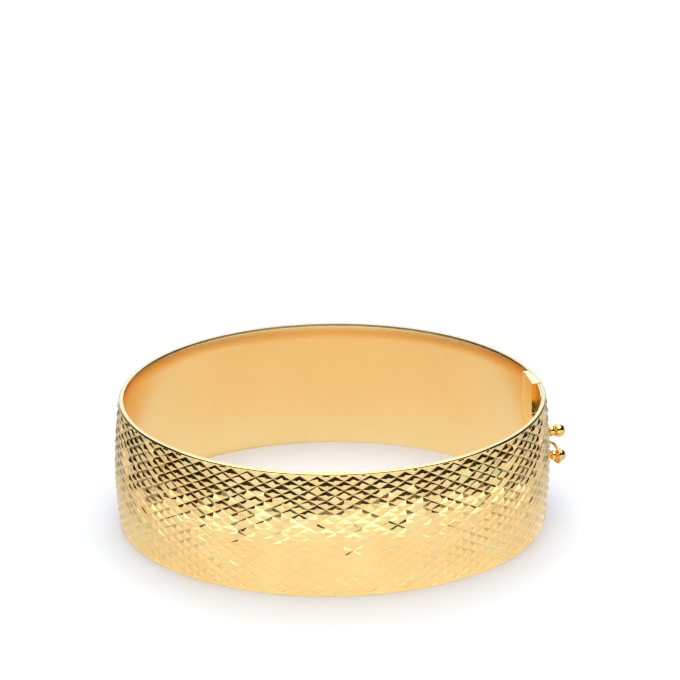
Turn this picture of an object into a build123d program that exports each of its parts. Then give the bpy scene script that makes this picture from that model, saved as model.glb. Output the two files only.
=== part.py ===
from build123d import *
import os
from math import atan2, cos, degrees, radians, sin, tan

# Oval hinged bangle, in millimetres. +X is the clasp end, -X the hinge end, -Y the front half,
# +Z up. The bangle stands on its bottom rim. Everything is drawn about the centre of the oval,
# and frame_shift then puts the origin under the middle of the whole object's box.
frame_shift = -1.34

# Band: a domed outer sheet and a flat liner, with a hollow between them.
# Offsets are measured from the crown oval, which runs over the top of the dome.
band_height = 20.0
mid_height = band_height / 2
crown_x = 32.75
crown_y = 28.00
dome_drop = 0.70
dome_sections = 5
sheet = 0.30
liner_outside = -1.25
liner_inside = -1.55
rim_round = 0.20
beyond = 1.0             # how far a cutting solid runs past what it cuts

# Main hinge: five barrels on one pin, within the thickness of the band.
pin_offset = 0.88
pin_radius = 0.30
pin_running = 0.03
barrel_radius = 0.65
barrel_clearance = 0.07
barrel_count = 5
barrel_gap = 0.05
barrel_stack = 12.0
leaf_width = 0.60
leaf_reach = 1.40
hinge_block_length = 2.00
hinge_gap = 0.04
bevel_angle = 31.0       # relief outside the pin on each half, a little over half the swing
hinge_x = -(crown_x - pin_offset)

# Clasp seam, catch box and tongue block. Places along the band are measured from the seam,
# plus into the back half and minus into the front half.
seam_angle = 5.85
seam_gap = 0.05
block_inside = -2.30
mouth_end = 0.45
cavity_end = 3.60
box_end = 5.20
tongue_block_end = 5.00
block_set_back = 5.00    # the inner step of the tongue block stops this far short of both rims

# Cavity and tongue are arcs about the hinge pin, so that the tongue slides along itself.
cavity_inner = 62.50
cavity_outer = 63.55
cavity_width = 8.00
mouth_outer = 63.42
tongue_width = 7.40
tongue_root = 1.20
tongue_end = 3.30
tongue_sheet = 0.20
lower_leaf_inner = 62.55
upper_leaf_inner = 63.07
fold_outer = 63.05
fold_thickness = 0.18
fold_gap = 0.08
step_start = 0.50
step_end = 0.95
step_outer = 63.38

# Push piece, soldered to the upper leaf and standing out through a notch at the seam.
push_place = 0.75
push_height = 11.50
push_stem_radius = 0.50
push_stem_foot = -1.30
push_bead_radius = 0.82
push_bead_lift = 0.95
push_ball_radius = 1.00
push_ball_lift = 2.10
notch_clear = 0.10

# Catch stud on the front half.
stud_place = -2.45
stud_height = 9.00
stud_peg_radius = 0.45
stud_peg_foot = -0.28
stud_bead_radius = 0.75
stud_bead_lift = 0.78
stud_ball_radius = 0.92
stud_ball_lift = 1.70

# Safety catch: a wire loop in a little tube on the back half.
tube_place = 4.20
tube_lift = 0.55
tube_radius = 0.45
tube_bore = 0.25
tube_length = 1.00
foot_width = 0.50
wire_radius = 0.21
wire_bend = 0.40
loop_lift = 1.35
loop_half_width = 1.20
waist_half_width = 0.62
heel_half_width = 0.85
prong = 0.90
side_start = 1.60        # the straight sides begin this far behind the stud
waist_place = 2.60
heel_place = 1.20


# --- shared shapes -------------------------------------------------------------------------

def band_angle(place):
    """Angle on the crown oval, at a place along the band from the clasp seam."""
    return radians(seam_angle) + place / crown_y


def normal_angle(place):
    """Direction of the outward normal there, in radians."""
    angle = band_angle(place)
    return atan2(crown_x * sin(angle), crown_y * cos(angle))


def band_point(place, lift=0.0, height=0.0):
    """A point at that place, lifted off the crown oval along its normal."""
    angle = band_angle(place)
    normal = normal_angle(place)
    x = crown_x * cos(angle) + lift * cos(normal)
    y = crown_y * sin(angle) + lift * sin(normal)
    return Vector(x, y, height)


def outward_plane(place, lift, height):
    """A plane facing straight out of the band, with its x up and its y to the front."""
    normal = normal_angle(place)
    origin = band_point(place, lift, height)
    return Plane(origin=origin, x_dir=(0, 0, 1), z_dir=(cos(normal), sin(normal), 0))


def prism(corners, low, high):
    """Upright prism over corners given in plan."""
    outline = Polyline(*[Vector(x, y, low) for x, y in corners], close=True)
    return extrude(make_face(outline), amount=high - low, dir=(0, 0, 1))


def oval_solid(offset, low, high):
    """Upright solid inside the oval at an offset from the crown."""
    return Pos(0, 0, low) * extrude(Ellipse(crown_x + offset, crown_y + offset), high - low)


def dome_solid(offset, low, high):
    """Solid inside the domed surface, moved in by an offset."""
    sections = []
    for i in range(dome_sections):
        z = low + (high - low) * i / (dome_sections - 1)
        drop = dome_drop * ((z - mid_height) / mid_height) ** 2
        radius = offset - drop
        sections.append(Pos(0, 0, z) * Ellipse(crown_x + radius, crown_y + radius))
    return loft(sections)


def stretch(start, end):
    """Prism over the band between two places near the clasp seam."""
    corners = []
    for place, lift in ((start, -6.0), (start, 4.0), (end, 4.0), (end, -6.0)):
        point = band_point(place, lift)
        corners.append((point.X, point.Y))
    return prism(corners, -beyond, band_height + beyond)


def half_region(side):
    """Prism over the front (-1) or the back (+1) half, up to both seams."""
    reach = 45.0
    inner = band_point(side * seam_gap, -20.0)
    outer = band_point(side * seam_gap, 10.0)
    corners = [
        (-reach, side * hinge_gap),
        (0, side * hinge_gap),
        (inner.X, inner.Y),
        (outer.X, outer.Y),
        (reach, side * reach),
        (-reach, side * reach),
    ]
    return prism(corners, -beyond, band_height + beyond)


def arc_about_pin(inner, outer, width, start, end):
    """Strip of a ring about the hinge pin, between two places at the clasp."""
    ring = extrude(Circle(outer) - Circle(inner), width)
    return Pos(hinge_x, 0, mid_height - width / 2) * ring & stretch(start, end)


def post(place, height, stem_radius, foot, beads):
    """Turned post standing out of the band, with (radius, lift) beads on its stem."""
    top = beads[-1][1]
    solid = Pos(0, 0, (foot + top) / 2) * Cylinder(stem_radius, top - foot)
    for radius, lift in beads:
        solid += Pos(0, 0, lift) * Sphere(radius)
    return outward_plane(place, 0, height) * solid


outer_dome = dome_solid(0, 0, band_height)
inner_dome = dome_solid(-sheet, sheet, band_height - sheet)
through = (-beyond, band_height + beyond)
liner_core = oval_solid(liner_outside, *through)
block_core = oval_solid(block_inside, *through)
end_solid = inner_dome + oval_solid(liner_outside, 0, band_height)


# --- band ----------------------------------------------------------------------------------

def hinge_relief(side):
    """Channel for the barrels, and the bevel that lets the halves swing apart."""
    channel = Pos(hinge_x, 0, mid_height) * Cylinder(
        barrel_radius + barrel_clearance, barrel_stack + 2 * barrel_gap
    )
    out = 2.0
    corners = [
        (hinge_x, side * hinge_gap),
        (hinge_x - out, side * (hinge_gap + out * tan(radians(bevel_angle)))),
        (hinge_x - out, -side * hinge_gap),
    ]
    return channel + prism(corners, *through)


def outer_shell(side):
    """Domed sheet with its two narrow rim flanges."""
    sheet_solid = outer_dome - inner_dome - liner_core
    return (sheet_solid & half_region(side)) - hinge_relief(side)


def inner_liner(side, block_start, block_end):
    """Flat strip on the wrist side, up to the block at the clasp."""
    strip = oval_solid(liner_outside, 0, band_height) - oval_solid(liner_inside, *through)
    rims = strip.edges().filter_by(GeomType.ELLIPSE).sort_by(SortBy.LENGTH)[:2]
    strip = fillet(rims, rim_round)
    strip = (strip & half_region(side)) - hinge_relief(side)
    return strip - stretch(block_start, block_end)


# --- main hinge ----------------------------------------------------------------------------

def barrel_span(i):
    """Lowest height and length of one of the hinge's barrels, counted from the bottom."""
    length = (barrel_stack - (barrel_count - 1) * barrel_gap) / barrel_count
    low = mid_height - barrel_stack / 2 + i * (length + barrel_gap)
    return low, length


def knuckle_leaf(side, i):
    """The tab that holds a barrel in the end block."""
    low, length = barrel_span(i)
    centre = Pos(hinge_x, side * leaf_reach / 2, low + length / 2)
    return centre * Box(leaf_width, leaf_reach, length)


def knuckle(side, i, bore):
    """One barrel with its tab."""
    low, length = barrel_span(i)
    centre = Pos(hinge_x, 0, low + length / 2)
    solid = centre * Cylinder(barrel_radius, length) + knuckle_leaf(side, i)
    return solid - centre * Cylinder(bore, length + beyond)


def hinge_block(side, own):
    """Solid end piece that closes the hollow band and takes the tabs."""
    length = hinge_block_length
    region = Pos(hinge_x, side * length / 2, mid_height) * Box(8, length, band_height)
    block = ((inner_dome - liner_core) & region & half_region(side)) - hinge_relief(side)
    for i in own:
        block -= knuckle_leaf(side, i)
    return block


def hinge_pin():
    return Pos(hinge_x, 0, mid_height) * Cylinder(pin_radius, barrel_stack)


# --- catch box on the back half ------------------------------------------------------------

def push_notch():
    """Open-ended slot that lets the push piece's stem in and out at the seam."""
    radius = push_stem_radius + notch_clear
    reach = 3.0
    slot = Cylinder(radius, reach) + Pos(0, reach / 2, 0) * Box(2 * radius, reach, reach)
    return outward_plane(push_place, push_stem_foot + reach / 2, push_height) * slot


def end_block(start, end):
    """Solid block over the whole thickness at the clasp, standing in past the liner."""
    return (end_solid - block_core) & stretch(start, end)


def catch_box_mouth():
    window = arc_about_pin(cavity_inner, mouth_outer, cavity_width, -beyond, box_end)
    return end_block(seam_gap, mouth_end) - window - push_notch()


def catch_box_shell():
    cavity = arc_about_pin(cavity_inner, cavity_outer, cavity_width, -beyond, box_end)
    return end_block(mouth_end, cavity_end) - cavity - push_notch()


def catch_box_bulkhead():
    return end_block(cavity_end, box_end)


# --- tongue on the front half --------------------------------------------------------------

def tongue_block():
    """End block flush with the liner near both rims, with a slot for the tongue's root."""
    block = end_block(-tongue_block_end, -seam_gap)
    cut = block_set_back
    block -= oval_solid(liner_inside, -beyond, cut)
    block -= oval_solid(liner_inside, band_height - cut, band_height + beyond)
    return block - lower_strip()


def lower_strip():
    outer = lower_leaf_inner + tongue_sheet
    return arc_about_pin(lower_leaf_inner, outer, tongue_width, -tongue_root, tongue_end)


def tongue_lower_leaf():
    """Flat leaf with the start of its fold at the tip."""
    fold_start = tongue_end - fold_thickness
    fold = arc_about_pin(lower_leaf_inner, fold_outer, tongue_width, fold_start, tongue_end)
    return lower_strip() + fold


def tongue_upper_leaf():
    """Springy leaf with the step that holds behind the mouth of the box."""
    outer = upper_leaf_inner + tongue_sheet
    tip = tongue_end - fold_thickness - fold_gap
    leaf = arc_about_pin(upper_leaf_inner, outer, tongue_width, 0, tip)
    leaf += arc_about_pin(upper_leaf_inner, step_outer, tongue_width, step_start, step_end)
    hole = outward_plane(push_place, push_stem_foot, push_height) * Cylinder(push_stem_radius, 2)
    return leaf - hole


def push_piece():
    beads = [(push_bead_radius, push_bead_lift), (push_ball_radius, push_ball_lift)]
    return post(push_place, push_height, push_stem_radius, push_stem_foot, beads)


# --- safety catch --------------------------------------------------------------------------

def stud_peg():
    plane = outward_plane(stud_place, stud_peg_foot, stud_height)
    return plane * Cylinder(stud_peg_radius, 2)


def catch_stud():
    beads = [(stud_bead_radius, stud_bead_lift), (stud_ball_radius, stud_ball_lift)]
    return post(stud_place, stud_height, stud_peg_radius, stud_peg_foot, beads)


def safety_hinge_tube():
    """Little upright tube, soldered to the outer sheet by its foot."""
    centre = Pos(*band_point(tube_place, tube_lift, stud_height))
    plane = outward_plane(tube_place, tube_lift / 2, stud_height)
    foot = plane * Box(tube_length, foot_width, tube_lift) - outer_dome
    tube = centre * Cylinder(tube_radius, tube_length) + foot
    return tube - centre * Cylinder(tube_bore, tube_length + beyond)


def safety_loop():
    """Wire loop, open at its far end, with its heel in the little tube."""
    heel = band_point(tube_place, tube_lift, stud_height)
    head = band_point(stud_place, loop_lift, stud_height)
    along = head - heel
    plane = Plane(origin=heel, x_dir=along, z_dir=along.cross(Vector(0, 0, 1)))
    half = [
        (along.length + prong, loop_half_width),
        (along.length - side_start, loop_half_width),
        (waist_place, waist_half_width),
        (heel_place, heel_half_width),
        (0, heel_half_width),
    ]
    corners = half + [(x, -y) for x, y in reversed(half)]
    path = plane * FilletPolyline(*corners, radius=wire_bend)
    section = Plane(origin=path @ 0, z_dir=path % 0) * Circle(wire_radius)
    return sweep(section, path=path)


# --- all the pieces ------------------------------------------------------------------------

pieces = {
    "back_outer_shell": outer_shell(1) - push_notch(),
    "back_inner_liner": inner_liner(1, -beyond, box_end),
    "back_hinge_block": hinge_block(1, (0, 2, 4)),
    "back_knuckle_bottom": knuckle(1, 0, pin_radius),
    "back_knuckle_middle": knuckle(1, 2, pin_radius),
    "back_knuckle_top": knuckle(1, 4, pin_radius),
    "hinge_pin": hinge_pin(),
    "catch_box_shell": catch_box_shell(),
    "catch_box_mouth": catch_box_mouth(),
    "catch_box_bulkhead": catch_box_bulkhead(),
    "safety_hinge_tube": safety_hinge_tube(),
    "front_outer_shell": outer_shell(-1) - stud_peg(),
    "front_inner_liner": inner_liner(-1, -tongue_block_end, beyond),
    "front_hinge_block": hinge_block(-1, (1, 3)),
    "front_knuckle_lower": knuckle(-1, 1, pin_radius + pin_running),
    "front_knuckle_upper": knuckle(-1, 3, pin_radius + pin_running),
    "tongue_block": tongue_block(),
    "tongue_lower_leaf": tongue_lower_leaf(),
    "catch_stud": catch_stud(),
    "tongue_upper_leaf": tongue_upper_leaf(),
    "push_piece": push_piece(),
    "safety_loop": safety_loop(),
}

os.makedirs("parts", exist_ok=True)
for name, solid in pieces.items():
    export_step(Pos(frame_shift, 0, 0) * solid, f"parts/{name}.step")
    print(name, len(solid.solids()), round(solid.volume, 3))

seam_point = band_point(0)
print("pin", hinge_x + frame_shift, "seam", seam_point.X + frame_shift, seam_point.Y)
tube_point = band_point(tube_place, tube_lift, stud_height)
print("tube", tube_point.X + frame_shift, tube_point.Y)
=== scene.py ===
import math

import bmesh
import bpy
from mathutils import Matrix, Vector


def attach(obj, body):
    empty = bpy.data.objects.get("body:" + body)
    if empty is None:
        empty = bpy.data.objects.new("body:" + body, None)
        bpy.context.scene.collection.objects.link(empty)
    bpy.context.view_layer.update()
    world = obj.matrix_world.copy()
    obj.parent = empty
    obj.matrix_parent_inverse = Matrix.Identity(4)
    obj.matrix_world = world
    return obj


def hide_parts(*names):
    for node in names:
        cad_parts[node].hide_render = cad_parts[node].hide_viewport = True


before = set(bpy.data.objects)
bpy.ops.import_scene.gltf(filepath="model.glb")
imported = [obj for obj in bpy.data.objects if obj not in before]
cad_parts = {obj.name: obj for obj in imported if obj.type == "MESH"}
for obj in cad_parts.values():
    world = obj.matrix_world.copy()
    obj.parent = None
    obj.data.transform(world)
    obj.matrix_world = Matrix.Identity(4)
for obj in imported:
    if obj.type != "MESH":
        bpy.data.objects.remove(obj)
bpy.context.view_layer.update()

# A hinged oval bangle in yellow gold. Lengths in the settings are millimetres and angles degrees,
# the scene is in metres. The clasp is at +X, the hinge at -X, and the front half faces -Y.
mm = 0.001
scene = bpy.context.scene

# shared shape of the band

band = {
    "crownX": 32.75,        # half length and half width of the oval over the top of the dome
    "crownY": 28.00,
    "centreX": -1.34,
    "height": 20.0,
    "domeDrop": 0.70,
    "sheet": 0.30,
    "seamAngle": 5.85,
    "seamGap": 0.05,
    "hingeGap": 0.04,
    "pinDepth": 0.88,
    "bevelAngle": 31.0,
    "linerOutside": -1.25,
    "linerInside": -1.55,
}


def bandAngle(place):
    return math.radians(band["seamAngle"]) + place / band["crownY"]


def ovalPoint(angle, lift, height):
    normal = math.atan2(band["crownX"] * math.sin(angle), band["crownY"] * math.cos(angle))
    x = band["centreX"] + band["crownX"] * math.cos(angle) + lift * math.cos(normal)
    y = band["crownY"] * math.sin(angle) + lift * math.sin(normal)
    return Vector((x, y, height)) * mm


def outward(place):
    angle = bandAngle(place)
    return Vector((band["crownY"] * math.cos(angle), band["crownX"] * math.sin(angle), 0)).normalized()


def ovalLength(angle):
    # length along the crown from the hinge round by the front, up to an angle from the hinge
    steps = 4000
    total = 0.0
    for i in range(steps):
        t = math.pi + angle * (i + 0.5) / steps
        total += math.hypot(band["crownX"] * math.sin(t), band["crownY"] * math.cos(t)) * angle / steps
    return total


# small tools

def toLinear(hexColour):
    parts = [int(hexColour[i:i + 2], 16) / 255 for i in (1, 3, 5)]
    return tuple(p / 12.92 if p <= 0.04045 else ((p + 0.055) / 1.055) ** 2.4 for p in parts) + (1.0,)


def addNode(tree, kind, settings=None, inputs=None):
    node = tree.nodes.new(kind)
    for name, value in (settings or {}).items():
        setattr(node, name, value)
    for name, value in (inputs or {}).items():
        if isinstance(value, bpy.types.Node):
            value = value.outputs[0]
        if isinstance(value, bpy.types.NodeSocket):
            tree.links.new(value, node.inputs[name])
        else:
            node.inputs[name].default_value = value
    return node


# the node kinds that come up again and again
maths, vectorMaths = "ShaderNodeMath", "ShaderNodeVectorMath"
joinXYZ, splitXYZ = "ShaderNodeCombineXYZ", "ShaderNodeSeparateXYZ"


def newObject(name, data):
    made = bpy.data.objects.new(name, data)
    scene.collection.objects.link(made)
    return made


def meshFrom(name, bm):
    mesh = bpy.data.meshes.new(name)
    bm.to_mesh(mesh)
    bm.free()
    return mesh


def newPiece(name, bm, material, body, replaced):
    piece = newObject(name, meshFrom(name, bm))
    piece.data.materials.clear()
    piece.data.materials.append(material)
    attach(piece, body)
    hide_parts(*replaced)
    return piece


def sharpenByAngle(bm, degrees):
    limit = math.radians(degrees)
    for edge in bm.edges:
        edge.smooth = len(edge.link_faces) == 2 and edge.calc_face_angle(0) < limit


def applyModifiers(piece):
    # the evaluated mesh becomes the piece's own, so nothing is left to evaluate
    evaluated = piece.evaluated_get(bpy.context.evaluated_depsgraph_get())
    mesh = bpy.data.meshes.new_from_object(evaluated)
    piece.modifiers.clear()
    piece.data = mesh
    return mesh


# materials

def newMaterial(name):
    material = bpy.data.materials.new(name)
    material.use_nodes = True
    tree = material.node_tree
    tree.nodes.clear()
    output = addNode(tree, "ShaderNodeOutputMaterial")
    shader = addNode(tree, "ShaderNodeBsdfPrincipled")
    tree.links.new(shader.outputs[0], output.inputs[0])
    return material, tree, shader


def goldFinish(name, settings):
    # every gold here is one yellow alloy: its surface work differs, and with it the tint a little
    material, tree, shader = newMaterial(name)
    place = addNode(tree, "ShaderNodeTexCoord").outputs["Object"]
    stretched = addNode(tree, "ShaderNodeMapping", None, {"Vector": place, "Scale": settings["stretch"]})
    grain = addNode(tree, "ShaderNodeTexNoise", None, {
        "Vector": stretched, "Scale": 1 / (settings["grain"] * mm), "Detail": 4.0, "Roughness": 0.55})
    cloud = addNode(tree, "ShaderNodeTexNoise", None, {
        "Vector": place, "Scale": 1 / (settings["cloud"] * mm), "Detail": 2.0, "Roughness": 0.5})
    colour = addNode(tree, "ShaderNodeValToRGB", None, {"Fac": cloud})
    ramp = colour.color_ramp.elements
    ramp[0].position, ramp[1].position = 0.35, 0.65
    ramp[0].color, ramp[1].color = toLinear(settings["dark"]), toLinear(settings["light"])
    low, high = settings["roughness"]
    rough = addNode(tree, "ShaderNodeMapRange", None, {
        "Value": grain, "From Min": 0.3, "From Max": 0.7, "To Min": low, "To Max": high})
    bump = addNode(tree, "ShaderNodeBump", None, {
        "Height": grain, "Strength": settings["bump"], "Distance": settings["depth"] * mm})
    shader.inputs["Metallic"].default_value = 1.0
    tree.links.new(colour.outputs[0], shader.inputs["Base Color"])
    tree.links.new(rough.outputs[0], shader.inputs["Roughness"])
    tree.links.new(bump.outputs[0], shader.inputs["Normal"])
    return material


# Diamond-cut gold: a faceting tool leaves mirror planes with the faintest tool lines, so each
# plane flashes or goes dark as one.
diamondCutGold = goldFinish("diamondCutGold", {
    "stretch": (1.0, 1.0, 3.0), "grain": 0.30, "cloud": 6.0, "dark": "#FCD086", "light": "#FED98F",
    "roughness": (0.06, 0.12), "bump": 0.10, "depth": 0.004})
# Lapped gold: sheet polished on a wheel that runs round the band, which leaves a soft even gloss
# and fine lines along it.
lappedGold = goldFinish("lappedGold", {
    "stretch": (0.25, 0.25, 2.0), "grain": 0.60, "cloud": 12.0, "dark": "#FAD086", "light": "#FCD48B",
    "roughness": (0.27, 0.31), "bump": 0.02, "depth": 0.004})
# Filed gold: the clasp block's flats are filed and buffed by hand, which leaves them glossier and
# paler than the liner.
filedGold = goldFinish("filedGold", {
    "stretch": (1.0, 4.0, 1.0), "grain": 0.35, "cloud": 5.0, "dark": "#FCDF98", "light": "#FEE6A6",
    "roughness": (0.10, 0.18), "bump": 0.12, "depth": 0.004})
# Burnished gold: beads pressed bright with a steel burnisher, close to a mirror.
burnishedGold = goldFinish("burnishedGold", {
    "stretch": (1.0, 1.0, 1.0), "grain": 0.45, "cloud": 2.0, "dark": "#F9C871", "light": "#FCD17F",
    "roughness": (0.04, 0.09), "bump": 0.05, "depth": 0.004})
# Drawn gold wire: pulled through a die, bright with light lines.
drawnGold = goldFinish("drawnGold", {
    "stretch": (1.0, 1.0, 1.0), "grain": 0.20, "cloud": 2.0, "dark": "#F8C673", "light": "#FCD382",
    "roughness": (0.08, 0.16), "bump": 0.10, "depth": 0.004})
# Turned gold: hinge barrels and pin off a lathe, a little duller than the band.
turnedGold = goldFinish("turnedGold", {
    "stretch": (1.0, 1.0, 6.0), "grain": 0.30, "cloud": 3.0, "dark": "#F3C06D", "light": "#F9CD80",
    "roughness": (0.16, 0.26), "bump": 0.15, "depth": 0.004})
# Rolled spring gold: hard rolled strip for the tongue, with the roller's satin.
rolledGold = goldFinish("rolledGold", {
    "stretch": (1.0, 5.0, 1.0), "grain": 0.40, "cloud": 4.0, "dark": "#F0BE6C", "light": "#F6CB80",
    "roughness": (0.20, 0.32), "bump": 0.12, "depth": 0.004})
print("materials made")

# diamond-cut outer sheet

facets = {
    "cellWidth": 2.65,      # one lozenge round the band
    "rows": 13,
    "edge": 0.45,           # plain bright margin at each rim
    "tableShare": 0.40,     # how much of a lozenge its flat table takes
    "tableLift": 0.035,
    "grooveDepth": 0.118,
    "tilt": 0.14,           # most a table leans, as a slope
    "crossingShift": 0.035,  # most a crossing of two grooves wanders
    "liftSpread": 0.065,    # most a table sits higher or lower than the rest
    "growth": (0.3, 2.3),   # limits on how far a table's outline moves with its lean and height
    "fixedShare": 0.1,      # points this near the outline, in cells, stay put
    "flange": 0.55,
    "seamEase": 0.12,       # the sheet stops this far short of the seam's flat, so it reads as a line
    "hingeEase": 0.08,      # cut points stay this far behind the bevel at the hinge
    "round": 0.26,
    "roundSteps": 4,
    "insideSteps": 10,
    "sharpAngle": 40,
    "ovalPoints": 1440,
    "seed": 7,
    "backSeedStep": 10,     # the back half draws its chances from another seed
}


def lozengeTile(share):
    # one cell: a whole lozenge in the middle and a quarter of its neighbour at each corner.
    # Height 1 marks a table's points and height 0 a groove's.
    half, near = share / 2, 0.5 - share / 2
    points, faces = [], []
    for sx in (-1, 1):
        for sy in (-1, 1):
            n = len(points)
            points += [(0, 0, 1), (sx * half, 0, 1), (sx * 0.5, 0, 0), (0, sy * half, 1), (0, sy * 0.5, 0),
                       (sx * 0.5, sy * near, 1), (sx * 0.5, sy * 0.5, 1), (sx * near, sy * 0.5, 1)]
            for corners in ((0, 1, 3), (1, 2, 4, 3), (2, 5, 7, 4), (5, 6, 7)):
                order = corners if sx * sy > 0 else corners[::-1]
                faces.append([n + c for c in order])
    mesh = bpy.data.meshes.new("lozengeTile")
    mesh.from_pydata(points, [], faces)
    return newObject("lozengeTile", mesh)


def rimProfile():
    # (height, lift) round the sheet's section, from the plain margin over the top rim, down the
    # hidden inside and under the bottom rim
    top, r, flange, sheet = band["height"], facets["round"], facets["flange"], band["sheet"]
    upper = []
    for i in range(1, facets["roundSteps"] + 1):
        turn = math.radians(90) * i / facets["roundSteps"]
        upper.append((top - r + r * math.sin(turn), -r + r * math.cos(turn)))
    upper += [(top, -flange), (top - sheet, -flange), (top - sheet, -sheet)]
    steps = facets["insideSteps"]
    inside = [(sheet + (top - 2 * sheet) * i / steps, -sheet) for i in range(steps - 1, 0, -1)]
    lower = [(top - h, lift) for h, lift in reversed(upper)]
    return upper + inside + lower + [(r, 0.0)]


def facetTree():
    tree = bpy.data.node_groups.new("facetedSheet", "GeometryNodeTree")
    face = tree.interface
    face.new_socket("Geometry", in_out="INPUT", socket_type="NodeSocketGeometry")
    face.new_socket("Geometry", in_out="OUTPUT", socket_type="NodeSocketGeometry")
    for name, kind in (("Tile", "Object"), ("Material", "Material"), ("Columns", "Int"), ("Rows", "Int"),
                       ("Seed", "Int"), ("Start Length", "Float"), ("Cell Width", "Float"),
                       ("Edge", "Float"), ("Cell Height", "Float"), ("Table Lift", "Float"),
                       ("Groove Depth", "Float"), ("Tilt", "Float"), ("Table Reach", "Float"),
                       ("Crossing Shift", "Float"), ("Lift Spread", "Float"), ("Half Length", "Float"),
                       ("Half Width", "Float"), ("Dome Drop", "Float"), ("Centre", "Float"),
                       ("Hinge Edge", "Float"), ("Hinge Length", "Float"), ("Hinge Side", "Float"),
                       ("Hinge Gap", "Float"), ("Pin Depth", "Float"), ("Bevel Slope", "Float")):
        face.new_socket(name, in_out="INPUT", socket_type="NodeSocket" + kind)
    given = addNode(tree, "NodeGroupInput").outputs

    # unit cells side by side, welded into one flat lattice
    grid = addNode(tree, "GeometryNodeMeshGrid", None, {
        "Size X": addNode(tree, maths, {"operation": "SUBTRACT"}, {0: given["Columns"], 1: 1.0}),
        "Size Y": addNode(tree, maths, {"operation": "SUBTRACT"}, {0: given["Rows"], 1: 1.0}),
        "Vertices X": given["Columns"], "Vertices Y": given["Rows"]})
    tile = addNode(tree, "GeometryNodeObjectInfo", None, {"Object": given["Tile"]})
    cells = addNode(tree, "GeometryNodeInstanceOnPoints", None, {
        "Points": grid, "Instance": tile.outputs["Geometry"]})
    joined = addNode(tree, "GeometryNodeMergeByDistance", None, {
        "Geometry": addNode(tree, "GeometryNodeRealizeInstances", None, {0: cells}), "Distance": 0.01})
    halfGrid = addNode(tree, joinXYZ, None, {
        0: addNode(tree, maths, {"operation": "MULTIPLY"}, {0: given["Columns"], 1: 0.5}),
        1: addNode(tree, maths, {"operation": "MULTIPLY"}, {0: given["Rows"], 1: 0.5})})
    lattice = addNode(tree, "GeometryNodeSetPosition", None, {"Geometry": joined, "Offset": halfGrid})

    # the lozenge that each point belongs to: a cell's own, or the one centred on its corner
    here = addNode(tree, splitXYZ, None, {0: addNode(tree, "GeometryNodeInputPosition")})
    u, v, isTable = here.outputs
    awayU, awayV = [addNode(tree, maths, {"operation": "ABSOLUTE"}, {0: addNode(
        tree, maths, {"operation": "SUBTRACT"}, {0: addNode(
            tree, maths, {"operation": "FRACT"}, {0: addNode(
                tree, maths, {"operation": "ADD"}, {0: w, 1: 0.0001})}), 1: 0.5})}) for w in (u, v)]
    inCell = addNode(tree, maths, {"operation": "LESS_THAN"}, {
        0: addNode(tree, maths, {"operation": "ADD"}, {0: awayU, 1: awayV}), 1: 0.5})
    half = addNode(tree, maths, {"operation": "MULTIPLY"}, {0: inCell, 1: 0.5})
    centreU, centreV = [addNode(tree, maths, {"operation": "ADD"}, {0: addNode(
        tree, maths, {"operation": "ROUND"}, {0: addNode(
            tree, maths, {"operation": "SUBTRACT"}, {0: w, 1: half})}), 1: half}) for w in (u, v)]
    # a whole number for each lozenge, so that all its points draw the same chances
    rowStride = 4000.0
    number = addNode(tree, maths, {"operation": "MULTIPLY_ADD"}, {
        0: centreV, 1: rowStride, 2: addNode(tree, maths, {"operation": "MULTIPLY"}, {0: centreU, 1: 2.0})})
    chance = [addNode(tree, "FunctionNodeRandomValue", {"data_type": "FLOAT_VECTOR"}, {
        0: (-1.0, -1.0, -1.0), 1: (1.0, 1.0, 1.0), "ID": number,
        "Seed": addNode(tree, maths, {"operation": "ADD"}, {0: given["Seed"], 1: float(i)})})
        for i in (0, 1)]
    crossing = addNode(tree, "FunctionNodeRandomValue", {"data_type": "FLOAT_VECTOR"}, {
        0: (-1.0, -1.0, -1.0), 1: (1.0, 1.0, 1.0),
        "Seed": addNode(tree, maths, {"operation": "ADD"}, {0: given["Seed"], 1: 2.0})})

    # real sizes: length along the band, height, and lift off the crown
    def toLength(w):
        return addNode(tree, maths, {"operation": "MULTIPLY_ADD"}, {
            0: w, 1: given["Cell Width"], 2: given["Start Length"]})

    def toHeight(w):
        return addNode(tree, maths, {"operation": "MULTIPLY_ADD"}, {
            0: w, 1: given["Cell Height"], 2: given["Edge"]})

    flatPoint = addNode(tree, joinXYZ, None, {0: toLength(u), 1: toHeight(v)})
    flatCentre = addNode(tree, joinXYZ, None, {0: toLength(centreU), 1: toHeight(centreV)})
    arm = addNode(tree, vectorMaths, {"operation": "SUBTRACT"}, {0: flatPoint, 1: flatCentre})
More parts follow.
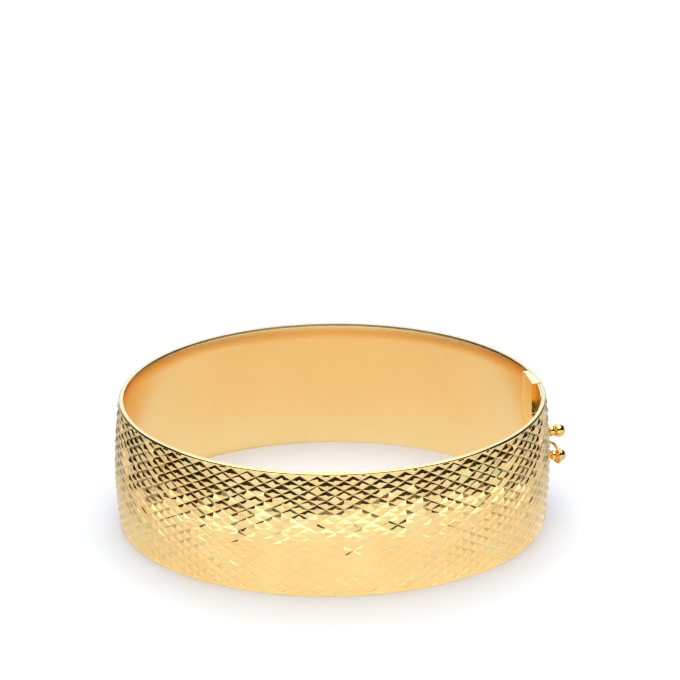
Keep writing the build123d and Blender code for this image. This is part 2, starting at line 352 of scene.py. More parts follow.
    # every groove is cut at one slope, so where a table leans or sits lower its outline moves out
    free = [addNode(tree, maths, {"operation": "GREATER_THAN"}, {0: addNode(
        tree, maths, {"operation": "MINIMUM"}, {0: w, 1: addNode(
            tree, maths, {"operation": "SUBTRACT"}, {0: given[count], 1: w})}), 1: facets["fixedShare"]})
        for w, count in ((u, "Columns"), (v, "Rows"))]
    inside = addNode(tree, maths, {"operation": "MULTIPLY"}, {0: free[0], 1: free[1]})
    least, most = [(limit, limit, limit) for limit in facets["growth"]]
    lean = addNode(tree, vectorMaths, {"operation": "SCALE"}, {0: chance[0], "Scale": given["Tilt"]})
    raised = addNode(tree, maths, {"operation": "MULTIPLY"}, {
        0: addNode(tree, splitXYZ, None, {0: chance[1]}).outputs[2], 1: given["Lift Spread"]})
    perReach = addNode(tree, maths, {"operation": "DIVIDE"}, {0: inside, 1: given["Table Reach"]})
    stretchBy = addNode(tree, vectorMaths, {"operation": "SCALE"}, {
        0: addNode(tree, vectorMaths, {"operation": "MULTIPLY"}, {0: arm, 1: lean}), "Scale": perReach})
    shrinkBy = addNode(tree, maths, {"operation": "SUBTRACT"}, {0: 1.0, 1: addNode(
        tree, maths, {"operation": "MULTIPLY"}, {0: raised, 1: perReach})})
    grown = addNode(tree, vectorMaths, {"operation": "DIVIDE"}, {0: shrinkBy, 1: addNode(
        tree, vectorMaths, {"operation": "MAXIMUM"}, {0: addNode(
            tree, vectorMaths, {"operation": "ADD"}, {0: stretchBy, 1: (1.0, 1.0, 1.0)}),
            1: least})})
    newArm = addNode(tree, vectorMaths, {"operation": "MULTIPLY"}, {0: arm, 1: addNode(
        tree, vectorMaths, {"operation": "MINIMUM"}, {0: grown, 1: most})})
    tableHigh = addNode(tree, maths, {"operation": "ADD"}, {
        0: addNode(tree, maths, {"operation": "ADD"}, {0: raised, 1: given["Table Lift"]}),
        1: addNode(tree, vectorMaths, {"operation": "DOT_PRODUCT"}, {0: newArm, 1: lean}).outputs[1]})
    tablePoint = addNode(tree, vectorMaths, {"operation": "ADD"}, {
        0: addNode(tree, vectorMaths, {"operation": "ADD"}, {0: flatCentre, 1: newArm}),
        1: addNode(tree, joinXYZ, None, {2: tableHigh})})
    # crossings wander a little, except on the outline, so the rims and the seams are straight
    wander = addNode(tree, vectorMaths, {"operation": "SCALE"}, {
        0: addNode(tree, vectorMaths, {"operation": "MULTIPLY"}, {0: crossing, 1: (1.0, 1.0, 0.0)}),
        "Scale": addNode(tree, maths, {"operation": "MULTIPLY"}, {0: inside, 1: given["Crossing Shift"]})})
    groovePoint = addNode(tree, vectorMaths, {"operation": "ADD"}, {
        0: addNode(tree, vectorMaths, {"operation": "ADD"}, {0: flatPoint, 1: wander}),
        1: addNode(tree, joinXYZ, None, {2: addNode(
            tree, maths, {"operation": "MULTIPLY"}, {0: given["Groove Depth"], 1: -1.0})})})
    placed = addNode(tree, "ShaderNodeMix", {"data_type": "VECTOR"}, {
        "Factor": isTable, 4: groovePoint, 5: tablePoint}).outputs[1]
    middle = addNode(tree, "ShaderNodeMix", {"data_type": "VECTOR"}, {
        "Factor": isTable, 4: groovePoint, 5: flatCentre}).outputs[1]
    geometry = lattice
    for name, kind, value in (("middle", "FLOAT_VECTOR", middle), ("cut", "FLOAT", 1.0)):
        geometry = addNode(tree, "GeometryNodeStoreNamedAttribute", {"data_type": kind, "domain": "POINT"}, {
            "Geometry": geometry, "Name": name, "Value": value})
    geometry = addNode(tree, "GeometryNodeSetPosition", None, {"Geometry": geometry, "Position": placed})

    # the plain margin, then round the section from the top rim to the bottom one
    def extrudeTo(geometry, chosen, height, liftTo):
        pushed = addNode(tree, "GeometryNodeExtrudeMesh", {"mode": "EDGES"}, {
            "Mesh": geometry, "Selection": chosen, "Offset Scale": 0.0})
        along = addNode(tree, splitXYZ, None, {0: addNode(tree, "GeometryNodeInputPosition")})
        return addNode(tree, "GeometryNodeSetPosition", None, {
            "Geometry": pushed.outputs["Mesh"], "Selection": pushed.outputs["Top"],
            "Position": addNode(tree, joinXYZ, None, {0: along, 1: height, 2: liftTo})}), \
            pushed.outputs["Top"]

    low, r, top = facets["edge"], facets["round"], band["height"]
    heightNow = addNode(tree, splitXYZ, None, {0: addNode(tree, "GeometryNodeInputPosition")}).outputs[1]
    bottomEdge = addNode(tree, maths, {"operation": "LESS_THAN"}, {0: heightNow, 1: low + 0.001})
    geometry, marked = extrudeTo(geometry, bottomEdge, r, 0.0)
    geometry = addNode(tree, "GeometryNodeStoreNamedAttribute", {"data_type": "FLOAT", "domain": "POINT"}, {
        "Geometry": geometry, "Name": "cut", "Selection": marked, "Value": 0.0})
    topEdge = addNode(tree, maths, {"operation": "GREATER_THAN"}, {0: heightNow, 1: top - low - 0.001})
    geometry, marked = extrudeTo(geometry, topEdge, top - r, 0.0)
    geometry = addNode(tree, "GeometryNodeStoreNamedAttribute", {"data_type": "FLOAT", "domain": "POINT"}, {
        "Geometry": geometry, "Name": "cut", "Selection": marked, "Value": 0.0})
    for height, liftTo in rimProfile():
        geometry, marked = extrudeTo(geometry, marked, height, liftTo)
    geometry = addNode(tree, "GeometryNodeMergeByDistance", None, {"Geometry": geometry, "Distance": 0.001})

    # the end at the hinge is cut back outside the pin
    point = addNode(tree, splitXYZ, None, {0: addNode(tree, "GeometryNodeInputPosition")})
    fromMiddle = addNode(tree, maths, {"operation": "MULTIPLY_ADD"}, {
        0: point.outputs[1], 1: 2 / top, 2: -1.0})
    drop = addNode(tree, maths, {"operation": "MULTIPLY"}, {0: given["Dome Drop"], 1: addNode(
        tree, maths, {"operation": "MULTIPLY"}, {0: fromMiddle, 1: fromMiddle})})
    outside = addNode(tree, maths, {"operation": "MAXIMUM"}, {0: 0.0, 1: addNode(
        tree, maths, {"operation": "ADD"}, {0: given["Pin Depth"], 1: addNode(
            tree, maths, {"operation": "SUBTRACT"}, {0: point.outputs[2], 1: drop})})})
    cutBack = addNode(tree, maths, {"operation": "MULTIPLY_ADD"}, {
        0: outside, 1: given["Bevel Slope"], 2: given["Hinge Gap"]})
    atHinge = addNode(tree, maths, {"operation": "COMPARE"}, {
        0: point.outputs[0], 1: given["Hinge Edge"], 2: 0.01})
    fromEnd = addNode(tree, maths, {"operation": "MULTIPLY"}, {0: addNode(
        tree, maths, {"operation": "SUBTRACT"}, {0: point.outputs[0], 1: given["Hinge Length"]}),
        1: given["Hinge Side"]})
    # nothing stands past the bevel, and the next points in stay a little behind it
    nearest = addNode(tree, maths, {"operation": "ADD"}, {0: cutBack, 1: addNode(
        tree, maths, {"operation": "MULTIPLY_ADD"}, {
            0: atHinge, 1: -facets["hingeEase"], 2: facets["hingeEase"]})})
    endLength = addNode(tree, maths, {"operation": "MULTIPLY_ADD"}, {
        0: addNode(tree, maths, {"operation": "MAXIMUM"}, {0: fromEnd, 1: nearest}),
        1: given["Hinge Side"], 2: given["Hinge Length"]})
    geometry = addNode(tree, "GeometryNodeSetPosition", None, {
        "Geometry": geometry, "Position": addNode(tree, joinXYZ, None, {
            0: endLength, 1: point.outputs[1], 2: point.outputs[2]})})

    # wrapped on the oval: a table lies in the plane at its own centre, everything else follows the curve
    oval = addNode(tree, "GeometryNodeTransform", None, {
        "Geometry": addNode(tree, "GeometryNodeCurvePrimitiveCircle", None, {
            "Resolution": facets["ovalPoints"], "Radius": 1.0}),
        "Scale": addNode(tree, joinXYZ, None, {
            0: addNode(tree, maths, {"operation": "MULTIPLY"}, {0: given["Half Length"], 1: -1.0}),
            1: addNode(tree, maths, {"operation": "MULTIPLY"}, {0: given["Half Width"], 1: -1.0}), 2: 1.0})})
    isCut = addNode(tree, "GeometryNodeInputNamedAttribute", {"data_type": "FLOAT"}, {"Name": "cut"})
    kept = addNode(tree, "GeometryNodeInputNamedAttribute", {"data_type": "FLOAT_VECTOR"}, {
        "Name": "middle"})
    away = addNode(tree, maths, {"operation": "MULTIPLY"}, {0: isCut, 1: addNode(
        tree, maths, {"operation": "SUBTRACT"}, {0: 1.0, 1: atHinge})})
    centre = addNode(tree, splitXYZ, None, {0: addNode(
        tree, "ShaderNodeMix", {"data_type": "VECTOR"}, {
            "Factor": away, 4: addNode(tree, "GeometryNodeInputPosition"), 5: kept}).outputs[1]})
    ring = addNode(tree, "GeometryNodeSampleCurve", {"mode": "LENGTH", "data_type": "FLOAT"}, {
        "Curves": oval, "Length": centre.outputs[0]})
    tangent = ring.outputs["Tangent"]
    turned = addNode(tree, splitXYZ, None, {0: tangent})
    normal = addNode(tree, joinXYZ, None, {
        0: turned.outputs[1], 1: addNode(tree, maths, {"operation": "MULTIPLY"}, {
            0: turned.outputs[0], 1: -1.0})})
    middleHeight = addNode(tree, maths, {"operation": "MULTIPLY_ADD"}, {
        0: centre.outputs[1], 1: 2 / top, 2: -1.0})
    crown = addNode(tree, maths, {"operation": "MULTIPLY"}, {0: middleHeight, 1: middleHeight})
    slope = addNode(tree, maths, {"operation": "MULTIPLY"}, {0: addNode(
        tree, maths, {"operation": "MULTIPLY"}, {0: middleHeight, 1: 4 / top}), 1: addNode(
        tree, maths, {"operation": "SUBTRACT"}, {0: point.outputs[1], 1: centre.outputs[1]})})
    sink = addNode(tree, maths, {"operation": "MULTIPLY"}, {0: given["Dome Drop"], 1: addNode(
        tree, maths, {"operation": "ADD"}, {0: crown, 1: slope})})
    out = addNode(tree, vectorMaths, {"operation": "SCALE"}, {
        0: normal, "Scale": addNode(tree, maths, {"operation": "SUBTRACT"}, {0: point.outputs[2], 1: sink})})
    across = addNode(tree, vectorMaths, {"operation": "SCALE"}, {
        0: tangent, "Scale": addNode(tree, maths, {"operation": "SUBTRACT"}, {
            0: point.outputs[0], 1: centre.outputs[0]})})
    total = addNode(tree, vectorMaths, {"operation": "ADD"}, {
        0: addNode(tree, vectorMaths, {"operation": "ADD"}, {0: ring.outputs["Position"], 1: out}),
        1: addNode(tree, vectorMaths, {"operation": "ADD"}, {0: across, 1: addNode(
            tree, joinXYZ, None, {0: given["Centre"], 2: point.outputs[1]})})})
    geometry = addNode(tree, "GeometryNodeSetPosition", None, {"Geometry": geometry, "Position": total})
    # every cut face is flat, and the rest of the section is smooth
    geometry = addNode(tree, "GeometryNodeSetShadeSmooth", None, {
        "Geometry": geometry, "Shade Smooth": False})
    geometry = addNode(tree, "GeometryNodeSetShadeSmooth", None, {
        "Geometry": geometry, "Shade Smooth": True,
        "Selection": addNode(tree, maths, {"operation": "LESS_THAN"}, {0: isCut, 1: 0.01})})
    geometry = addNode(tree, "GeometryNodeTransform", None, {"Geometry": geometry, "Scale": (mm, mm, mm)})
    geometry = addNode(tree, "GeometryNodeSetMaterial", None, {
        "Geometry": addNode(tree, "GeometryNodeRealizeInstances", None, {0: geometry}),
        "Material": given["Material"]})
    addNode(tree, "NodeGroupOutput", None, {0: geometry})
    return tree


def facetedSheet(name, tree, tile, start, end, hingeSide, hingeLength, body, replaced):
    # start and end are lengths along the crown from the hinge, round by the front
    columns = round((end - start) / facets["cellWidth"])
    share = facets["tableShare"]
    reach = share / (1 - share) * (facets["tableLift"] + facets["grooveDepth"])
    values = {
        "Tile": tile, "Material": diamondCutGold, "Columns": columns, "Rows": facets["rows"],
        "Seed": facets["seed"] + (facets["backSeedStep"] if hingeSide < 0 else 0), "Start Length": start,
        "Cell Width": (end - start) / columns, "Edge": facets["edge"],
        "Cell Height": (band["height"] - 2 * facets["edge"]) / facets["rows"],
        "Table Lift": facets["tableLift"], "Groove Depth": facets["grooveDepth"], "Tilt": facets["tilt"],
        "Table Reach": reach, "Crossing Shift": facets["crossingShift"],
        "Lift Spread": facets["liftSpread"], "Half Length": band["crownX"], "Half Width": band["crownY"],
        "Dome Drop": band["domeDrop"], "Centre": band["centreX"],
        "Hinge Edge": start if hingeSide > 0 else end, "Hinge Length": hingeLength,
        "Hinge Side": float(hingeSide), "Hinge Gap": band["hingeGap"], "Pin Depth": band["pinDepth"],
        "Bevel Slope": math.tan(math.radians(band["bevelAngle"])),
    }
    holder = newObject(name + "Maker", bpy.data.meshes.new(name + "Maker"))
    modifier = holder.modifiers.new("facets", "NODES")
    modifier.node_group = tree
    for item in tree.interface.items_tree:
        if item.in_out == "INPUT" and item.name in values:
            modifier[item.identifier] = values[item.name]
    mesh = applyModifiers(holder)
    bpy.data.objects.remove(holder)
    bm = bmesh.new()
    bm.from_mesh(mesh)
    # the two ends of the sheet are closed by one face each
    bmesh.ops.holes_fill(bm, edges=[e for e in bm.edges if e.is_boundary], sides=0)
    bmesh.ops.dissolve_degenerate(bm, dist=1e-7, edges=bm.edges[:])
    bmesh.ops.recalc_face_normals(bm, faces=bm.faces[:])
    for edge in bm.edges:
        if len(edge.link_faces) == 2 and edge.calc_face_angle(0) > math.radians(facets["sharpAngle"]):
            edge.smooth = False
    openEdges = sum(edge.is_boundary for edge in bm.edges)
    print(name, "columns", columns, "faces", len(bm.faces), "open edges", openEdges)
    return newPiece(name, bm, diamondCutGold, body, replaced)


roundTrip = ovalLength(2 * math.pi)
seamAt = ovalLength(math.pi + math.radians(band["seamAngle"]))
ease = band["seamGap"] + facets["seamEase"]
facetNodes = facetTree()
oneTile = lozengeTile(facets["tableShare"])
facetedSheet("frontFacetedSheet", facetNodes, oneTile, 0.0, seamAt - ease, 1, 0.0,
             "front_half", ("front_outer_shell",))
backSheet = facetedSheet("backFacetedSheet", facetNodes, oneTile, seamAt + ease, roundTrip, -1,
                         roundTrip, "back_half", ("back_outer_shell",))
bpy.data.objects.remove(oneTile)
print("faceted sheets made")

notch = {"place": 0.75, "height": 11.5, "radius": 0.60, "foot": -1.30, "reach": 3.0}


def cutNotch(piece):
    # open-ended slot that lets the push piece's stem in and out at the seam
    out = outward(notch["place"])
    along = Vector((-out.y, out.x, 0))
    centre = ovalPoint(bandAngle(notch["place"]), 0, notch["height"])
    bm = bmesh.new()
    rim = []
    for i in range(25):
        turn = math.radians(-90 + 180 * i / 24)
        rim.append((notch["radius"] * math.cos(turn), notch["radius"] * math.sin(turn)))
    rim += [(-notch["reach"], notch["radius"]), (-notch["reach"], -notch["radius"])]
    low, high = notch["foot"], notch["foot"] + notch["reach"]
    rings = [[bm.verts.new(centre + (along * a + Vector((0, 0, b)) + out * lift) * mm) for a, b in rim]
             for lift in (low, high)]
    for i in range(len(rim)):
        j = (i + 1) % len(rim)
        bm.faces.new((rings[0][i], rings[0][j], rings[1][j], rings[1][i]))
    bm.faces.new(rings[0][::-1])
    bm.faces.new(rings[1])
    bmesh.ops.recalc_face_normals(bm, faces=bm.faces[:])
    cutter = newObject("notchCutter", meshFrom("notchCutter", bm))
    modifier = piece.modifiers.new("notch", "BOOLEAN")
    modifier.operation, modifier.solver, modifier.object = "DIFFERENCE", "EXACT", cutter
    applyModifiers(piece)
    bpy.data.objects.remove(cutter)


cutNotch(backSheet)
print("notch cut, faces", len(backSheet.data.polygons))

# wrist-side liner

liner = {
    "steps": 260,
    "chamfer": (0.20, 0.42),    # across and down
    "round": 0.22,
    "roundSteps": 6,
    "sideSteps": 8,
    "frontEnd": 5.00,
    "backEnd": 5.20,
    "sharpAngle": 40,
}


def linerStrip(name, angleFrom, angleTo, body, replaced):
    # flat sheet on the wrist side, its top rim filed to a steep bevel and its bottom one rounded
    outer, inner, high, r = band["linerOutside"], band["linerInside"], band["height"], liner["round"]
    section = [(outer, 0.0), (outer, high)]
    across, down = liner["chamfer"]
    section += [(inner + across, high), (inner + across / 2, high - down / 2), (inner, high - down)]
    section += [(inner, high * i / liner["sideSteps"]) for i in range(liner["sideSteps"] - 1, 0, -1)]
    for i in range(liner["roundSteps"] + 1):
        turn = math.radians(90) * i / liner["roundSteps"]
        section.append((inner + r - r * math.cos(turn), r - r * math.sin(turn)))
    bm = bmesh.new()
    rings = []
    for i in range(liner["steps"] + 1):
        angle = angleFrom + (angleTo - angleFrom) * i / liner["steps"]
        rings.append([bm.verts.new(ovalPoint(angle, lift, height)) for lift, height in section])
    n = len(section)
    for a, b in zip(rings, rings[1:]):
        for i in range(n):
            bm.faces.new((a[i], a[(i + 1) % n], b[(i + 1) % n], b[i])).smooth = True
    bm.faces.new(rings[0])
    bm.faces.new(rings[-1])
    bmesh.ops.recalc_face_normals(bm, faces=bm.faces[:])
    sharpenByAngle(bm, liner["sharpAngle"])
    return newPiece(name, bm, lappedGold, body, replaced)


hingeTurn = band["hingeGap"] / band["crownY"]
linerStrip("frontLiner", -math.pi + hingeTurn, bandAngle(-liner["frontEnd"]),
           "front_half", ("front_inner_liner",))
linerStrip("backLiner", bandAngle(liner["backEnd"]), math.pi - hingeTurn,
           "back_half", ("back_inner_liner",))
print("liners made")

# clasp block, tongue and hinge: the frame's own shapes with their edges eased

easing = {"flat": 0.5, "sharp": 25, "bevel": 35, "weld": 2e-6}


def easedCopy(node, name, ease, material, slotName, body):
    bm = bmesh.new()
    bm.from_mesh(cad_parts[node].data)
    bmesh.ops.remove_doubles(bm, verts=bm.verts[:], dist=easing["weld"])
    bmesh.ops.dissolve_limit(bm, angle_limit=math.radians(easing["flat"]), verts=bm.verts[:],
                             edges=bm.edges[:])
    for face in bm.faces:
        face.smooth = True
    sharpenByAngle(bm, easing["sharp"])
    piece = newPiece(name, bm, material, body, (node,))
    modifier = piece.modifiers.new("ease", "BEVEL")
    modifier.width, modifier.segments = ease * mm, 2
    modifier.limit_method, modifier.angle_limit = "ANGLE", math.radians(easing["bevel"])
    applyModifiers(piece)
    for polygon in piece.data.polygons:
        polygon.use_smooth = True


easedCopies = (
    ("catch_box_shell", "catchBoxShell", 0.08, filedGold, "polished_gold", "back_half"),
    ("catch_box_mouth", "catchBoxMouth", 0.08, filedGold, "polished_gold", "back_half"),
    ("catch_box_bulkhead", "catchBoxBulkhead", 0.08, filedGold, "polished_gold", "back_half"),
    ("tongue_block", "tongueBlock", 0.08, filedGold, "polished_gold", "front_half"),
    ("back_hinge_block", "backHingeBlock", 0.03, lappedGold, "polished_gold", "back_half"),
    ("front_hinge_block", "frontHingeBlock", 0.03, lappedGold, "polished_gold", "front_half"),
    ("back_knuckle_bottom", "backKnuckleBottom", 0.03, turnedGold, "hinge_gold", "back_half"),
    ("back_knuckle_middle", "backKnuckleMiddle", 0.03, turnedGold, "hinge_gold", "back_half"),
    ("back_knuckle_top", "backKnuckleTop", 0.03, turnedGold, "hinge_gold", "back_half"),
    ("front_knuckle_lower", "frontKnuckleLower", 0.03, turnedGold, "hinge_gold", "front_half"),
    ("front_knuckle_upper", "frontKnuckleUpper", 0.03, turnedGold, "hinge_gold", "front_half"),
    ("hinge_pin", "hingePin", 0.04, turnedGold, "hinge_gold", "back_half"),
    ("tongue_lower_leaf", "tongueLowerLeaf", 0.03, rolledGold, "spring_gold", "front_half"),
    ("tongue_upper_leaf", "tongueUpperLeaf", 0.03, rolledGold, "spring_gold", "tongue_spring"),
    ("safety_hinge_tube", "safetyHingeTube", 0.03, burnishedGold, "burnished_gold", "back_half"),
)
for entry in easedCopies:
    easedCopy(*entry)
print("clasp and hinge pieces eased")

# push piece and catch stud

posts = {
    "pushPiece": {"place": 0.75, "height": 11.5, "stem": 0.50, "foot": -1.30,
                  "beads": ((0.82, 0.95), (1.00, 2.10)), "body": "tongue_spring", "node": "push_piece"},
    "catchStud": {"place": -2.45, "height": 9.0, "stem": 0.45, "foot": -0.28,
                  "beads": ((0.75, 0.78), (0.92, 1.70)), "body": "front_half", "node": "catch_stud"},
}


def postProfile(settings, steps=14):
    # (radius, lift) from the foot up: stem, small bead, ball
    (r1, l1), (r2, l2) = settings["beads"]
    stem, foot = settings["stem"], settings["foot"]
    apart = l2 - l1
    crossing = (apart ** 2 + r1 ** 2 - r2 ** 2) / (2 * apart)
    profile = [(0.0, foot), (stem - 0.05, foot), (stem, foot + 0.05)]
    start, stop = math.asin(stem / r1), math.acos(crossing / r1)
    for i in range(steps + 1):
        turn = math.pi - start + (stop - math.pi + start) * i / steps
        profile.append((r1 * math.sin(turn), l1 + r1 * math.cos(turn)))
    start = math.acos((crossing - apart) / r2)
    for i in range(1, steps + 7):
        turn = start * (1 - i / (steps + 6))
        profile.append((r2 * math.sin(turn), l2 + r2 * math.cos(turn)))
    return profile


def turnedPost(name, settings, sides=48):
    out = outward(settings["place"])
    along, up = Vector((-out.y, out.x, 0)), Vector((0, 0, 1))
    base = ovalPoint(bandAngle(settings["place"]), 0, settings["height"])
    bm = bmesh.new()
    rings = []
    for radius, lift in postProfile(settings):
        centre = base + out * lift * mm
        if radius < 1e-6:
            rings.append([bm.verts.new(centre)])
            continue
        turns = [2 * math.pi * i / sides for i in range(sides)]
        rings.append([bm.verts.new(centre + (along * math.cos(a) + up * math.sin(a)) * radius * mm)
                      for a in turns])
    for a, b in zip(rings, rings[1:]):
        for i in range(sides):
            j = (i + 1) % sides
            corners = [a[i % len(a)], a[j % len(a)], b[j % len(b)], b[i % len(b)]]
            corners = [c for k, c in enumerate(corners) if c not in corners[:k]]
            bm.faces.new(corners).smooth = True
    bmesh.ops.recalc_face_normals(bm, faces=bm.faces[:])
    sharpenByAngle(bm, 35)
    return newPiece(name, bm, burnishedGold, settings["body"], (settings["node"],))


for name, settings in posts.items():
    turnedPost(name, settings)
print("posts turned")

# safety loop: one wire, closed through the tube and round the stud

loop = {
    "wire": 0.235, "tubePlace": 4.20, "tubeLift": 0.55, "height": 9.0, "studPlace": -2.45, "loopLift": 1.35,
    # (along from the tube, up) for one side of the wire, tube end first
    "side": ((0.0, 0.45), (0.0, 0.66), (0.14, 0.82), (0.60, 0.90), (1.20, 0.86), (2.05, 0.68), (2.70, 0.62),
             (3.40, 0.72), (4.20, 1.02), (5.10, 1.20), (6.00, 1.22), (6.90, 1.10), (7.60, 0.66)),
}


def safetyWire():
    start = ovalPoint(bandAngle(loop["tubePlace"]), loop["tubeLift"], loop["height"])
    over = ovalPoint(bandAngle(loop["studPlace"]), loop["loopLift"], loop["height"])
    along = (over - start).normalized()
    stud = (over - start).length / mm
    reach = stud + 1.2
    scale = reach / 7.75
    points = [start + (along * a * scale + Vector((0, 0, 1)) * b) * mm for a, b in loop["side"]]
    points.append(start + along * reach * mm)
    points += [start + (along * a * scale - Vector((0, 0, 1)) * b) * mm for a, b in reversed(loop["side"])]
    curve = bpy.data.curves.new("safetyWire", "CURVE")
    curve.dimensions, curve.resolution_u = "3D", 8
    curve.bevel_depth, curve.bevel_resolution = loop["wire"] * mm, 5
    spline = curve.splines.new("NURBS")
    spline.points.add(len(points) - 1)
    for target, point in zip(spline.points, points):
        target.co = (*point, 1.0)
    spline.use_cyclic_u, spline.order_u = True, 4
    holder = newObject("safetyWire", curve)
    mesh = bpy.data.meshes.new_from_object(holder.evaluated_get(bpy.context.evaluated_depsgraph_get()))
    bpy.data.objects.remove(holder)
    bm = bmesh.new()
    bm.from_mesh(mesh)
    bmesh.ops.remove_doubles(bm, verts=bm.verts[:], dist=1e-6)
    bmesh.ops.recalc_face_normals(bm, faces=bm.faces[:])
    for face in bm.faces:
        face.smooth = True
    return newPiece("safetyLoop", bm, drawnGold, "safety_catch", ("safety_loop",))


safetyWire()
print("safety loop bent")

# floor, light and camera

def lightRamp(tree, level, steps, brightest):
    # a ramp over (position, brightness, tint) steps, scaled so that the brightest is 1
    ramp = addNode(tree, "ShaderNodeValToRGB", None, {"Fac": level})
    elements = ramp.color_ramp.elements
    elements.remove(elements[0])
    for i, (position, value, tint) in enumerate(steps):
        element = elements[0] if i == 0 else elements.new(position)
        element.position = position
        element.color = (*(c * value / brightest for c in toLinear(tint)[:3]), 1.0)
    return ramp


floor = {
    "size": 6.0,            # metres
    "fibre": 1.111,
    "paper": ("#ECF0F3", "#F0F4F7"),
    "glowTint": "#DFE9FF",
    "glow": 0.14,
    # what the metal sees of it, in front of and behind the object: (distance from the middle in mm,
    # brightness, tint)
    "front": ((0, 0.97, "#FFF8F0"), (20, 0.97, "#FFF8F0"), (25, 1.02, "#FFFCF8"), (34, 1.06, "#FFFFFF"),
              (50, 1.20, "#E4EEFF"), (75, 1.46, "#D4E8FF"), (100, 1.54, "#CEE6FF"), (160, 1.60, "#CEE6FF")),
    "behind": ((0, 0.97, "#FFF8F0"), (14, 0.97, "#FFF8F0"), (22, 1.14, "#ECF2FF"), (30, 1.14, "#ECF2FF"),
               (34, 0.56, "#FFFFFF"), (95, 0.66, "#FFF2E6"),
               (125, 0.40, "#F2F6FF"), (150, 0.06, "#F2F6FF"), (160, 0.04, "#F2F6FF")),
    "oval": 1.17,           # the distance is taken this much longer across the band
}


def makeFloor():
    # Matt white paper, unglazed and very slightly fibrous. Reflections see a graded card in its place,
    # which is brightest and coolest well out in front and dimmer behind.
    material, tree, shader = newMaterial("mattWhitePaper")
    output = tree.nodes["Material Output"]
    place = addNode(tree, "ShaderNodeTexCoord").outputs["Object"]
    fibre = addNode(tree, "ShaderNodeTexNoise", None, {
        "Vector": place, "Scale": 1 / (floor["fibre"] * mm), "Detail": 3.0})
    colour = addNode(tree, "ShaderNodeValToRGB", None, {"Fac": fibre})
    for element, tint in zip(colour.color_ramp.elements, floor["paper"]):
        element.color = toLinear(tint)
    tree.links.new(colour.outputs[0], shader.inputs["Base Color"])
    shader.inputs["Roughness"].default_value = 1.0
    shader.inputs["Specular IOR Level"].default_value = 0.0
    shader.inputs["Emission Color"].default_value = toLinear(floor["glowTint"])
    shader.inputs["Emission Strength"].default_value = floor["glow"]
    spread = addNode(tree, vectorMaths, {"operation": "MULTIPLY"}, {
        0: place, 1: (1.0, floor["oval"], 0.0)})
    away = addNode(tree, vectorMaths, {"operation": "LENGTH"}, {0: spread}).outputs[1]
    reach = floor["front"][-1][0]
    brightest = max(step[1] for key in ("front", "behind") for step in floor[key])
    ramps = [lightRamp(tree, addNode(tree, maths, {"operation": "DIVIDE"}, {0: away, 1: reach * mm}),
                       [(distance / reach, value, tint) for distance, value, tint in floor[key]], brightest)
             for key in ("front", "behind")]
    turned = addNode(tree, "ShaderNodeMapRange", None, {"Value": addNode(
        tree, maths, {"operation": "DIVIDE"}, {
            0: addNode(tree, splitXYZ, None, {0: spread}).outputs[1], 1: away}),
        "From Min": -1.0, "From Max": 1.0})
    seen = addNode(tree, "ShaderNodeMix", {"data_type": "RGBA"}, {
        "Factor": turned, 6: ramps[0], 7: ramps[1]})
    card = addNode(tree, "ShaderNodeEmission", None, {"Color": seen.outputs[2], "Strength": brightest})
    glossy = addNode(tree, "ShaderNodeLightPath").outputs["Is Glossy Ray"]
    mixed = addNode(tree, "ShaderNodeMixShader", None, {0: glossy, 1: shader, 2: card})
    tree.links.new(mixed.outputs[0], output.inputs[0])
    bm = bmesh.new()
    bmesh.ops.create_grid(bm, x_segments=8, y_segments=8, size=floor["size"] / 2)
    plane = newObject("floor", meshFrom("floor", bm))
    plane.data.materials.append(material)


light = {
    # (elevation, brightness, tint): the lit sweep in front, the dark room above it, the window
    # behind the object and the tent overhead
    "sweep": ((-90, 1.0, "#FFFFFF"), (-2, 1.18, "#F0F5FF"), (9, 1.18, "#F0F5FF"), (15, 1.25, "#E8F0FF"),
              (16.8, 2.7, "#E8F0FF"), (19.0, 2.7, "#E8F0FF"), (20.5, 0.05, "#C8C0A8"),
              (90, 0.03, "#C8C0A8")),
    "window": ((-90, 1.0, "#FFFFFF"), (-2, 1.6, "#C5DDFF"), (8, 2.0, "#BCD5FF"), (50, 2.0, "#BCD5FF"),
               (60, 0.0, "#FFFFFF"), (90, 0.0, "#FFFFFF")),
    "tent": ((-90, 0.0, "#FFFFFF"), (50, 0.0, "#FFFFFF"), (58, 2.75, "#FFFAF4"), (90, 2.75, "#FFFAF4")),
    "windowReach": (36, 24),
    "sweepTop": 20.5,       # where the sweep ends in front
    "sweepLeast": 0.03,     # sine of its height where it is lowest
    "sweepSide": 0.06,      # sine of its height at the sides
    "sweepFront": 0.290,    # and how much it gains to the front
}


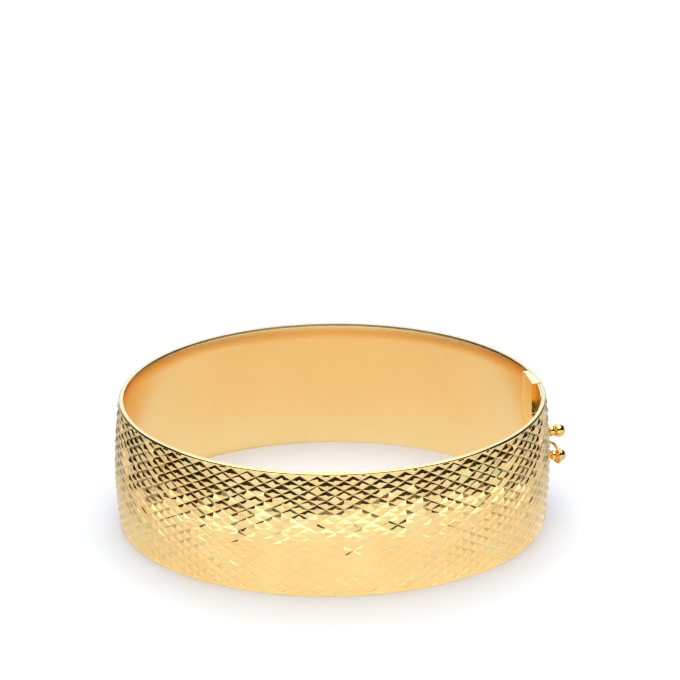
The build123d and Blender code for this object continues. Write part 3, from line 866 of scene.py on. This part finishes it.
def makeWorld():
    world = bpy.data.worlds.new("studio")
    world.use_nodes = True
    tree = world.node_tree
    tree.nodes.clear()
    towards = addNode(tree, "ShaderNodeTexCoord").outputs["Generated"]
    x, y, up = addNode(tree, splitXYZ, None, {0: towards}).outputs
    # the sweep is lower at the sides and lowest behind
    edge = addNode(tree, maths, {"operation": "MAXIMUM"}, {0: light["sweepLeast"], 1: addNode(
        tree, maths, {"operation": "MULTIPLY_ADD"}, {0: y, 1: -light["sweepFront"], 2: light["sweepSide"]})})
    sweepTop = math.sin(math.radians(light["sweepTop"]))
    lowered = addNode(tree, maths, {"operation": "DIVIDE"}, {
        0: addNode(tree, maths, {"operation": "MULTIPLY"}, {0: up, 1: sweepTop}), 1: edge})
    brightest = max(step[1] for key in ("sweep", "window", "tent") for step in light[key])
    ramps = {}
    for key, level in (("sweep", lowered), ("window", up), ("tent", up)):
        share = addNode(tree, "ShaderNodeMapRange", None, {
            "Value": level, "From Min": -1.0, "From Max": 1.0})
        steps = [((math.sin(math.radians(angle)) + 1) / 2, value, tint) for angle, value, tint in light[key]]
        ramps[key] = lightRamp(tree, share, steps, brightest)
    flat = addNode(tree, maths, {"operation": "SQRT"}, {0: addNode(
        tree, maths, {"operation": "MULTIPLY_ADD"}, {0: x, 1: x, 2: addNode(
            tree, maths, {"operation": "MULTIPLY"}, {0: y, 1: y})})})
    behind = addNode(tree, maths, {"operation": "DIVIDE"}, {0: y, 1: flat})
    wide, narrow = [math.cos(math.radians(angle)) for angle in light["windowReach"]]
    inWindow = addNode(tree, "ShaderNodeMapRange", None, {
        "Value": behind, "From Min": wide, "From Max": narrow})
    mixed = addNode(tree, "ShaderNodeMix", {"data_type": "RGBA"}, {
        "Factor": inWindow, 6: ramps["sweep"], 7: ramps["window"]}).outputs[2]
    total = addNode(tree, vectorMaths, {"operation": "ADD"}, {0: mixed, 1: ramps["tent"]})
    back = addNode(tree, "ShaderNodeBackground", None, {"Color": total, "Strength": brightest})
    addNode(tree, "ShaderNodeOutputWorld", None, {0: back})
    scene.world = world


camera = {
    "azimuth": -3.5,
    "elevation": 25.2,
    "distance": 910.0,
    "lens": 319.6,
    "sensor": 36.0,
    "aimRight": 1.146,      # how far past the middle of the band it aims
    "aimUp": 17.53,
}


def makeCamera():
    az, el = math.radians(camera["azimuth"]), math.radians(camera["elevation"])
    back = Vector((math.sin(az) * math.cos(el), -math.cos(az) * math.cos(el), math.sin(el)))
    right = Vector((math.cos(az), math.sin(az), 0))
    centre = Vector((band["centreX"], 0, band["height"] / 2)) * mm
    place = centre + back * camera["distance"] * mm
    aim = centre + (right * camera["aimRight"] + back.cross(right) * camera["aimUp"]) * mm
    data = bpy.data.cameras.new("camera")
    data.lens, data.sensor_width = camera["lens"], camera["sensor"]
    data.clip_start, data.clip_end = 0.01, 20.0
    seen = newObject("camera", data)
    seen.location = place
    seen.rotation_mode = "QUATERNION"
    seen.rotation_quaternion = (aim - place).to_track_quat("-Z", "Y")
    scene.camera = seen


makeFloor()
makeWorld()
makeCamera()
scene.view_settings.view_transform = "Standard"
print("floor, light and camera made")
